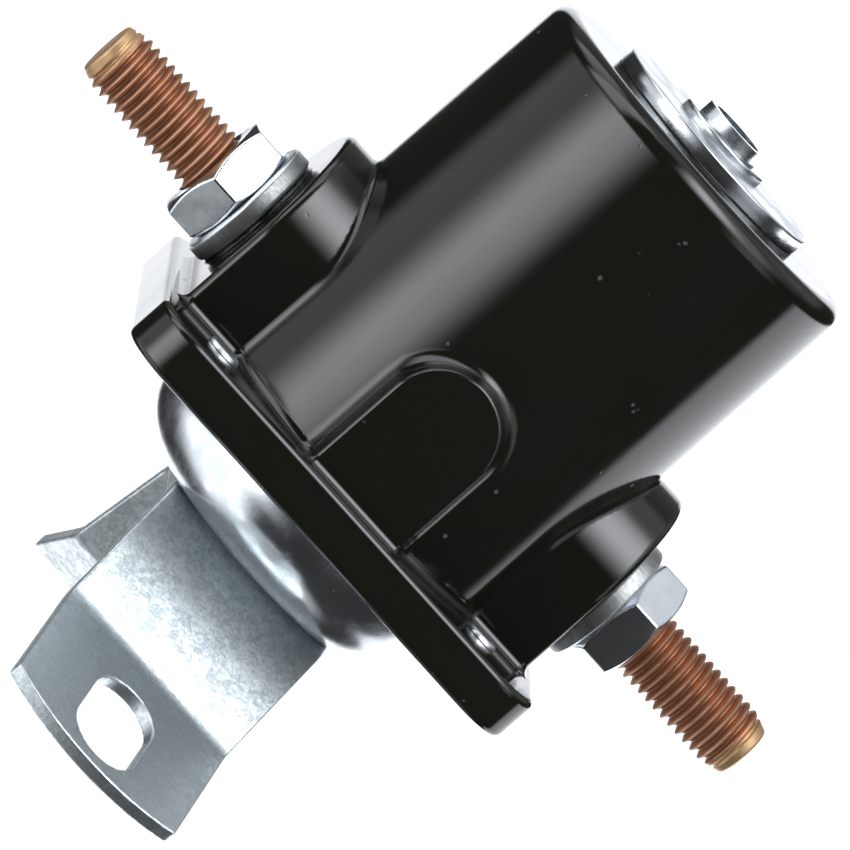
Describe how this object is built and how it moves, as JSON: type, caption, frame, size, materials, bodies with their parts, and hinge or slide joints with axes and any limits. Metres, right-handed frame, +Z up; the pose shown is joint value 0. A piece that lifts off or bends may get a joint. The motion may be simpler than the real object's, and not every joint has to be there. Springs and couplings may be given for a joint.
{
  "type": "starter solenoid relay",
  "caption": "Round moulded starter solenoid relay with threaded power studs at its sides, a coil terminal at the back, a pressed base cover and a slotted strap bracket.",
  "frame": {"origin": "centre of the bounding box's bottom, on the floor that the bracket's feet stand on, under the body's axis", "axes": "+Z up along the body's axis, +X along the power studs, +Y towards the coil terminal; -Y is the front that the picture shows"},
  "size_m": [0.099, 0.0748, 0.0895],
  "materials": {
    "phenolic_black": "glossy moulded phenolic, near black, with fine pits and light handling scratches",
    "zinc_bright": "bright zinc plate on stamped and turned steel",
    "zinc_strap": "zinc plated strip with a fine spangled grain",
    "copper": "copper plate on threaded studs, brighter on the crests",
    "enamelled_wire": "enamelled copper wire",
    "core_steel": "plain turned soft steel",
    "spring_steel": "drawn spring wire",
    "fibre": "vulcanised fibre, dull red brown",
    "nylon": "moulded nylon, off white"
  },
  "bodies": {
    "case": {"housing": "phenolic_black", "base_gasket": "fibre", "base_cover": "zinc_bright", "mounting_bracket": "zinc_strap", "flange_rivet_fl": "zinc_bright", "flange_rivet_fr": "zinc_bright", "flange_rivet_bl": "zinc_bright", "flange_rivet_br": "zinc_bright", "bracket_rivet_l": "zinc_bright", "bracket_rivet_r": "zinc_bright", "power_stud_l": "copper", "power_stud_r": "copper", "stud_seat_l": "fibre", "stud_seat_r": "fibre", "stud_washer_l": "zinc_bright", "stud_washer_r": "zinc_bright", "stud_nut_l": "zinc_bright", "stud_nut_r": "zinc_bright", "coil_stud": "copper", "coil_seat": "fibre", "coil_washer": "zinc_bright", "coil_nut": "zinc_bright", "top_washer": "zinc_bright", "core_ring": "zinc_bright", "core_tube": "zinc_bright", "magnet_frame": "core_steel", "pole_plate": "core_steel", "coil_bobbin": "nylon", "coil_winding": "enamelled_wire", "coil_lead": "enamelled_wire", "ground_lead": "enamelled_wire", "return_spring": "spring_steel"},
    "plunger": {"plunger": "core_steel", "plunger_stem": "core_steel", "spring_seat": "core_steel", "stem_clip": "core_steel", "contact_spring": "spring_steel"},
    "contact": {"contact_disc": "copper", "disc_bush": "nylon", "disc_washer": "nylon"}
  },
  "joints": [
    {"name": "plunger_slide", "type": "slide", "parent": "case", "child": "plunger", "axis": [0, 0, 1], "range_m": [0, 0.0027], "stiffness_N_per_m": 1100, "springref_m": -0.003, "deforming": ["return_spring"]},
    {"name": "contact_slide", "type": "slide", "parent": "plunger", "child": "contact", "axis": [0, 0, -1], "range_m": [0, 0.0005], "stiffness_N_per_m": 60, "springref_m": -0.0016, "deforming": ["contact_spring"]}
  ],
  "couplings": [
    {"joint": "contact_slide", "follows": "plunger_slide", "ratio": 0.18518}
  ]
}
